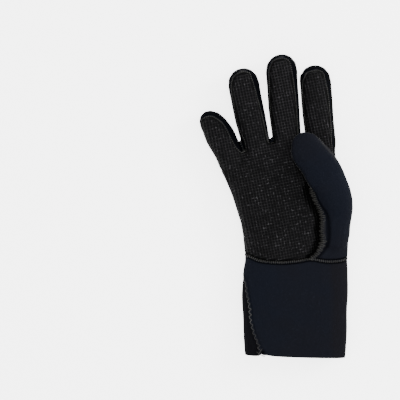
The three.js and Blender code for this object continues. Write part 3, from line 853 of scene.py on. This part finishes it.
def stitch_tree(inputs):
    """Threads laid over a seam's ridge at an even pitch, each slanted against the one before."""
    tree, given, output = geometry_tree("stitches", inputs)
    curve = add(tree, "GeometryNodeMeshToCurve", [("Mesh", given["Geometry"])])
    even = add(tree, "GeometryNodeResampleCurve", [("Curve", curve.outputs[0]), ("Length", given["Pitch"])],
               mode="LENGTH")
    tangent = add(tree, "GeometryNodeInputTangent")
    turned = upright_rotation(tree, tangent.outputs[0], named(tree, "seam_normal"))
    wander = random_value(tree, -0.12, 0.12, given["Seed"])
    every_other = maths(tree, "MODULO", add(tree, "GeometryNodeInputIndex").outputs[0], 2.0)
    sides = maths(tree, "MULTIPLY", maths(tree, "SUBTRACT", every_other, 0.5), given["Slant"])
    slant = add(tree, "ShaderNodeCombineXYZ", [("Z", maths(tree, "ADD", sides, wander))])
    turned = add(tree, "FunctionNodeRotateRotation",
                 [("Rotation", turned), ("Rotate By", slant.outputs[0])], rotation_space="LOCAL").outputs[0]
    half = maths(tree, "MULTIPLY", given["Length"], 0.5)
    dip = maths(tree, "MULTIPLY", given["Height"], -1.0)
    rise = maths(tree, "ADD", given["Height"], given["Thread"])
    first = add(tree, "ShaderNodeCombineXYZ", [("Y", maths(tree, "MULTIPLY", half, -1.0)), ("Z", dip)])
    crest = add(tree, "ShaderNodeCombineXYZ", [("Z", rise)])
    last = add(tree, "ShaderNodeCombineXYZ", [("Y", half), ("Z", dip)])
    loop = add(tree, "GeometryNodeCurveQuadraticBezier", [
        ("Resolution", 6), ("Start", first.outputs[0]), ("Middle", crest.outputs[0]),
        ("End", last.outputs[0])])
    section = add(tree, "GeometryNodeCurvePrimitiveCircle", [
        ("Resolution", 5), ("Radius", maths(tree, "MULTIPLY", given["Thread"], 0.5))])
    stitch = add(tree, "GeometryNodeCurveToMesh", [
        ("Curve", loop.outputs[0]), ("Profile Curve", section.outputs[0]), ("Fill Caps", True)])
    share = named(tree, "seam_share", "FLOAT")
    size = add(tree, "ShaderNodeCombineXYZ", [("X", 1.0), ("Y", share), ("Z", share)])
    placed = add(tree, "GeometryNodeInstanceOnPoints", [
        ("Points", even.outputs[0]), ("Instance", stitch.outputs[0]), ("Rotation", turned),
        ("Scale", size.outputs[0])])
    finish_tree(tree, output, placed.outputs[0], given["Material"])
    return tree


def net_tree(inputs):
    """Flat bars along the edges of a lattice and a square knob on each of its points."""
    tree, given, output = geometry_tree("net", inputs)
    normal = named(tree, "net_normal")
    bars = add(tree, "GeometryNodeMeshToCurve", [("Mesh", given["Geometry"])])
    bars = add(tree, "GeometryNodeSetCurveNormal", [("Curve", bars.outputs[0]), ("Normal", normal)],
               mode="FREE")
    section = add(tree, "GeometryNodeCurvePrimitiveQuadrilateral", [
        ("Width", maths(tree, "MULTIPLY", given["Height"], 2.0)), ("Height", given["Width"])])
    bars = add(tree, "GeometryNodeCurveToMesh", [
        ("Curve", bars.outputs[0]), ("Profile Curve", section.outputs[0]), ("Fill Caps", True)])
    turned = upright_rotation(tree, named(tree, "net_row"), normal)
    tall = maths(tree, "MULTIPLY", given["Height"], 2.6)
    knob = add(tree, "GeometryNodeMeshCone", [
        ("Vertices", 4), ("Radius Top", maths(tree, "MULTIPLY", given["Knot"], 0.42)),
        ("Radius Bottom", maths(tree, "MULTIPLY", given["Knot"], 0.72)), ("Depth", tall)],
        fill_type="NGON")
    sunk = add(tree, "ShaderNodeCombineXYZ", [("Z", maths(tree, "MULTIPLY", given["Height"], -1.0))])
    knob = add(tree, "GeometryNodeTransform", [
        ("Geometry", knob.outputs[0]), ("Translation", sunk.outputs[0]),
        ("Rotation", (0.0, 0.0, math.radians(45)))])
    knob = add(tree, "GeometryNodeStoreNamedAttribute", [
        ("Geometry", knob.outputs[0]), ("Name", "knob"), ("Value", 1.0)], data_type="FLOAT", domain="POINT")
    size = random_value(tree, 0.8, 1.12, given["Seed"])
    knobs = add(tree, "GeometryNodeInstanceOnPoints", [
        ("Points", given["Geometry"]), ("Instance", knob.outputs[0]),
        ("Rotation", turned), ("Scale", size)])
    both = add(tree, "GeometryNodeJoinGeometry")
    tree.links.new(knobs.outputs[0], both.inputs[0])
    tree.links.new(bars.outputs[0], both.inputs[0])
    finish_tree(tree, output, both.outputs[0], given["Material"])
    return tree


def line_object(name, points, edges):
    """An object of points and edges alone."""
    made = new_object(name, points, [])
    made.data.edges.add(len(edges))
    made.data.edges.foreach_set("vertices", np.array(edges).reshape(-1))
    return made


def float_attribute(mesh, name, values):
    mesh.attributes.new(name, "FLOAT", "POINT").data.foreach_set(
        "value", np.ascontiguousarray(values, dtype=np.float32))


def vector_attribute(mesh, name, vectors):
    mesh.attributes.new(name, "FLOAT_VECTOR", "POINT").data.foreach_set(
        "vector", np.ascontiguousarray(vectors, dtype=np.float32).reshape(-1))


def evened(run):
    """A seam's points as a smooth line of even steps, with the skin's normals beside it."""
    points, normals = skin["points"][run], skin["normals"][run]
    for _ in range(3):
        points[1:-1] = (points[:-2] + 2 * points[1:-1] + points[2:]) / 4
    return points, normals


def eased(points, corners):
    """The skin after wear: a few places pulled off the pattern, a soft wobble, a notch in the mouth."""
    normals = smoothed(vertex_normals(points, corners), corners, 3)
    for x, y, move_x, move_y, reach, lowest in EASES:
        share = np.exp(-((points[:, 0] - x) ** 2 + (points[:, 1] - y) ** 2) / reach ** 2)
        share *= ease(points[:, 2], lowest, lowest + 6)
        points[:, 0] += share * move_x
        points[:, 1] += share * move_y
    for x, y, growth in FULL_TIPS:
        away = np.hypot(points[:, 0] - x, points[:, 1] - y) / TIP_ROUND
        growth = growth * np.clip(0.25 + 0.75 * normals[:, 1] - 0.25 * normals[:, 0], 0, 1)
        points[:, :2] += (growth * np.exp(1 - away ** 2).clip(0, 1.15))[:, None] * normals[:, :2]
    points[:, 0] += 0.8 * ease(points[:, 1], -52, -66) * normals[:, 0]
    x, y, z = points.T / WOBBLE_LENGTH
    wobble = np.sin(x + 0.7 * y + 1.3) * np.sin(1.1 * y - 0.4 * z) + np.sin(0.6 * x - 1.3 * y + 0.5 * z + 2.1)
    points += WOBBLE_HEIGHT * wobble[:, None] * normals
    top = ease(points[:, 2], 12, 18) * ease(points[:, 1], -130, -150)
    points[:, 1] -= 1.6 * top
    points[:, 1] += 1.4 * top * bump(points[:, 0], CUFF_NOTCH[0] + 2, 1.4)
    points[:, 1] += 0.8 * top * bump(points[:, 0], CUFF_NOTCH[0] + 6, 7)
    points[:, 1] -= 0.8 * top * ease(points[:, 0], CUFF_NOTCH[0] + 2, CUFF_NOTCH[0] - 3)
    return points


class GLOVE_OT_panels(bpy.types.Operator):
    """Builds the six neoprene panels with their raised seams"""
    bl_idname = "glove.panels"
    bl_label = "Panels"

    def execute(self, context):
        sizes, colours = context.scene.glove_sizes, context.scene.glove_colours
        points, corners = outer_skin(*remeshed(sizes.voxel))
        points = smoothed(points, corners, SMOOTHING_ROUNDS, SMOOTHING_SHARES)
        points = eased(even_mouth(points, corners), corners)
        points[:, 2] = np.maximum(points[:, 2], SKIN_LOWEST)
        normals = smoothed(vertex_normals(points, corners), corners, 3)
        skin.update(points=points, corners=corners, normals=normals)
        measure_skin(sizes)
        cut_seams()
        turn_normals()
        raise_seams(sizes)
        find_seam_lines()
        owner = panel_of(skin["corners"])
        skin["owner"] = owner
        jersey, grip = jersey_material(colours), grip_material(colours)
        for name in PANELS:
            made = walled("%s_skin" % name, skin["corners"][owner == name], sizes.wall / MM)
            made.data.materials.append(grip if name in GRIP_PANELS else jersey)
            made.data.materials.append(jersey)
            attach(made, BODY)
            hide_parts(name)
        return {"FINISHED"}


class GLOVE_OT_stitches(bpy.types.Operator):
    """Sews the cross stitches over the seams"""
    bl_idname = "glove.stitches"
    bl_label = "Stitches"

    def execute(self, context):
        sizes, colours = context.scene.glove_sizes, context.scene.glove_colours
        material = thread_material(colours)
        tree = None
        for name, _ in SEAMS:
            points, normals, shares, edges = [], [], [], []
            for run in seam_lines[name]:
                p, n = evened(run)
                start = sum(len(q) for q in points)
                edges += [(start + k, start + k + 1) for k in range(len(p) - 1)]
                points.append(p)
                normals.append(n)
                shares.append(skin["extra"][name + "_width"][run])
            if not points:
                raise RuntimeError("seam %s has no line" % name)
            points = np.concatenate(points)
            made = line_object("stitches_%s" % name, points, edges)
            vector_attribute(made.data, "seam_normal", np.concatenate(normals))
            float_attribute(made.data, "seam_share", np.concatenate(shares))
            y = points[:, 1]
            # The cuff seam's threads are darkened at its wrist end and, half as much, near the mouth
            darkening = np.maximum(0.85 * ease(y, -98, -90), 0.5 * ease(y, -114, -120))
            float_attribute(made.data, "stitch_darkening", darkening * (name == "cuff"))
            pitch, span, thread, slant = ZIGZAG_STITCH if name == "cuff" else CROSS_STITCH
            inputs = (("Pitch", "NodeSocketFloat", sizes.stitch_pitch * pitch),
                      ("Length", "NodeSocketFloat", sizes.seam_width * span),
                      ("Height", "NodeSocketFloat", 0.9 * sizes.seam_height),
                      ("Thread", "NodeSocketFloat", sizes.thread * thread),
                      ("Slant", "NodeSocketFloat", slant),
                      ("Seed", "NodeSocketInt", 3),
                      ("Material", "NodeSocketMaterial", material))
            tree = tree or stitch_tree(inputs)
            use_tree(made, tree, inputs)
            applied(made, "stitches_%s" % name)
            for vertex in made.data.vertices:
                vertex.co.z = max(vertex.co.z, STITCH_LOWEST * MM)
            made.data.shade_smooth()
            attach(made, BODY)
        return {"FINISHED"}


class GLOVE_OT_grip(bpy.types.Operator):
    """Prints the raised net on the palm and on the thumb's strip"""
    bl_idname = "glove.grip"
    bl_label = "Grip"

    def execute(self, context):
        sizes, colours = context.scene.glove_sizes, context.scene.glove_colours
        material = net_material(colours)
        inputs = (("Width", "NodeSocketFloat", sizes.net_width),
                  ("Height", "NodeSocketFloat", sizes.net_height),
                  ("Knot", "NodeSocketFloat", sizes.knot_size),
                  ("Seed", "NodeSocketInt", 5),
                  ("Material", "NodeSocketMaterial", material))
        tree = net_tree(inputs)
        for name, seam in (("palm_panel", "palm"), ("thumb_grip", "thumb")):
            made = lattice("%s_net" % name, name, seam, sizes)
            use_tree(made, tree, inputs)
            applied(made, "%s_net" % name)
            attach(made, BODY)
        return {"FINISHED"}


def lattice(name, panel, seam, sizes):
    """Points and edges of a square lattice laid on a panel, clear of its seams, with the skin's normals."""
    corners = skin["corners"][skin["owner"] == panel]
    points = skin["points"]
    tree = BVHTree.FromPolygons(points.tolist(), corners.tolist())
    a, b, c = (points[corners[:, k]] for k in range(3))
    facing = np.cross(b - a, c - a).sum(0)
    facing = np.array((0.0, 0.0, 1.0)) if panel == "palm_panel" else facing / np.linalg.norm(facing)
    row = np.array([math.cos(sizes.net_angle), math.sin(sizes.net_angle), 0.0])
    row -= (row @ facing) * facing
    row /= np.linalg.norm(row)
    column = np.cross(facing, row)
    used = points[np.unique(corners)]
    middle = (used.min(0) + used.max(0)) / 2
    pitch = sizes.net_pitch / MM
    reach = int(np.linalg.norm(used.max(0) - used.min(0)) / pitch / 2) + 1
    found, places, normals, shades = {}, [], [], []
    for i in range(-reach, reach + 1):
        for j in range(-reach, reach + 1):
            start = middle + pitch * (i * row + j * column) + NET_START * facing
            hit, _, index, _ = tree.ray_cast(Vector(start), Vector(-facing), 2 * NET_START)
            if hit is None:
                continue
            ends = corners[index]
            beside, above = (abs(skin["values"][key][ends].mean()) for key in (seam, "wrist"))
            normal = skin["normals"][ends].mean(0)
            if min(beside, 0.7 * above) < NET_CLEAR or normal @ facing < NET_FACING:
                continue
            found[i, j] = len(places)
            places.append(np.array(hit))
            normals.append(normal)
            # The skin's painted shade under the point, carried onto the net
            shades.append(skin["shade"][ends].mean())
    edges = [(k, found[i + di, j + dj]) for (i, j), k in found.items() for di, dj in ((1, 0), (0, 1))
             if (i + di, j + dj) in found]
    edges = [(k, m) for k, m in edges if np.linalg.norm(places[k] - places[m]) < NET_LONGEST * pitch]
    made = line_object(name, places, edges)
    vector_attribute(made.data, "net_normal", normals)
    vector_attribute(made.data, "net_row", [row] * len(places))
    x, y, _ = np.array(places).T
    lightening = ease(y, 30, 60) * (0.25 * ease(x, -55, -45) + 0.6 * bump(x, 3, 13))
    float_attribute(made.data, "net_rubbed", lightening)
    float_attribute(made.data, "net_shade", shades)
    return made


def area_light(name, place, size, power):
    """A round light that shines on the middle of the glove."""
    light = bpy.data.lights.new(name, "AREA")
    light.shape = "DISK"
    light.size = size
    light.energy = power
    made = bpy.data.objects.new(name, light)
    made.location = place
    made.rotation_mode = "QUATERNION"
    made.rotation_quaternion = (-Vector(place)).to_track_quat("-Z", "Y")
    bpy.context.scene.collection.objects.link(made)


class GLOVE_OT_stage(bpy.types.Operator):
    """Lays the floor, hangs the lights and sets the camera straight above"""
    bl_idname = "glove.stage"
    bl_label = "Stage"

    def execute(self, context):
        colours = context.scene.glove_colours
        square = [(x * FLOOR_HALF, y * FLOOR_HALF, 0) for x, y in ((-1, -1), (1, -1), (1, 1), (-1, 1))]
        floor = new_object("floor", square, [(0, 1, 2, 3)])
        floor.data.materials.append(floor_material(colours))
        for light in LIGHTS:
            area_light(*light)
        world = bpy.data.worlds.new("studio")
        world.use_nodes = True
        tree = world.node_tree
        background = tree.nodes["Background"]
        way = add(tree, "ShaderNodeTexCoord").outputs["Generated"]
        height = add(tree, "ShaderNodeSeparateXYZ", [(0, way)]).outputs["Z"]
        glow = add(tree, "ShaderNodeMapRange", [("Value", height), ("From Min", 0.0), ("From Max", 0.9),
                                                ("To Min", 0.5), ("To Max", 2.2)])
        tree.links.new(glow.outputs["Result"], background.inputs["Strength"])
        background.inputs["Color"].default_value = (1, 1, 1, 1)
        context.scene.world = world
        lens = bpy.data.cameras.new("camera")
        lens.lens = CAMERA_LENS
        lens.sensor_width = 36
        lens.clip_end = 20
        camera = bpy.data.objects.new("camera", lens)
        camera.location = CAMERA_PLACE
        context.scene.collection.objects.link(camera)
        context.scene.camera = camera
        return {"FINISHED"}


OPERATORS = (GLOVE_OT_panels, GLOVE_OT_stitches, GLOVE_OT_grip, GLOVE_OT_stage)


class GLOVE_PT_panel(bpy.types.Panel):
    bl_label = "Diving glove"
    bl_idname = "GLOVE_PT_panel"
    bl_space_type = "VIEW_3D"
    bl_region_type = "UI"
    bl_category = "Glove"

    def draw(self, context):
        for group in (context.scene.glove_sizes, context.scene.glove_colours):
            for key in group.__annotations__:
                self.layout.prop(group, key)
        for operator in OPERATORS:
            self.layout.operator(operator.bl_idname)


CLASSES = (GloveSizes, GloveColours) + OPERATORS + (GLOVE_PT_panel,)


def register():
    for made in CLASSES:
        bpy.utils.register_class(made)
    bpy.types.Scene.glove_sizes = bpy.props.PointerProperty(type=GloveSizes)
    bpy.types.Scene.glove_colours = bpy.props.PointerProperty(type=GloveColours)


def unregister():
    del bpy.types.Scene.glove_sizes
    del bpy.types.Scene.glove_colours
    for made in reversed(CLASSES):
        bpy.utils.unregister_class(made)


def main():
    register()
    bpy.ops.glove.panels()
    bpy.ops.glove.stitches()
    bpy.ops.glove.grip()
    bpy.ops.glove.stage()


if __name__ == "__main__":
    main()
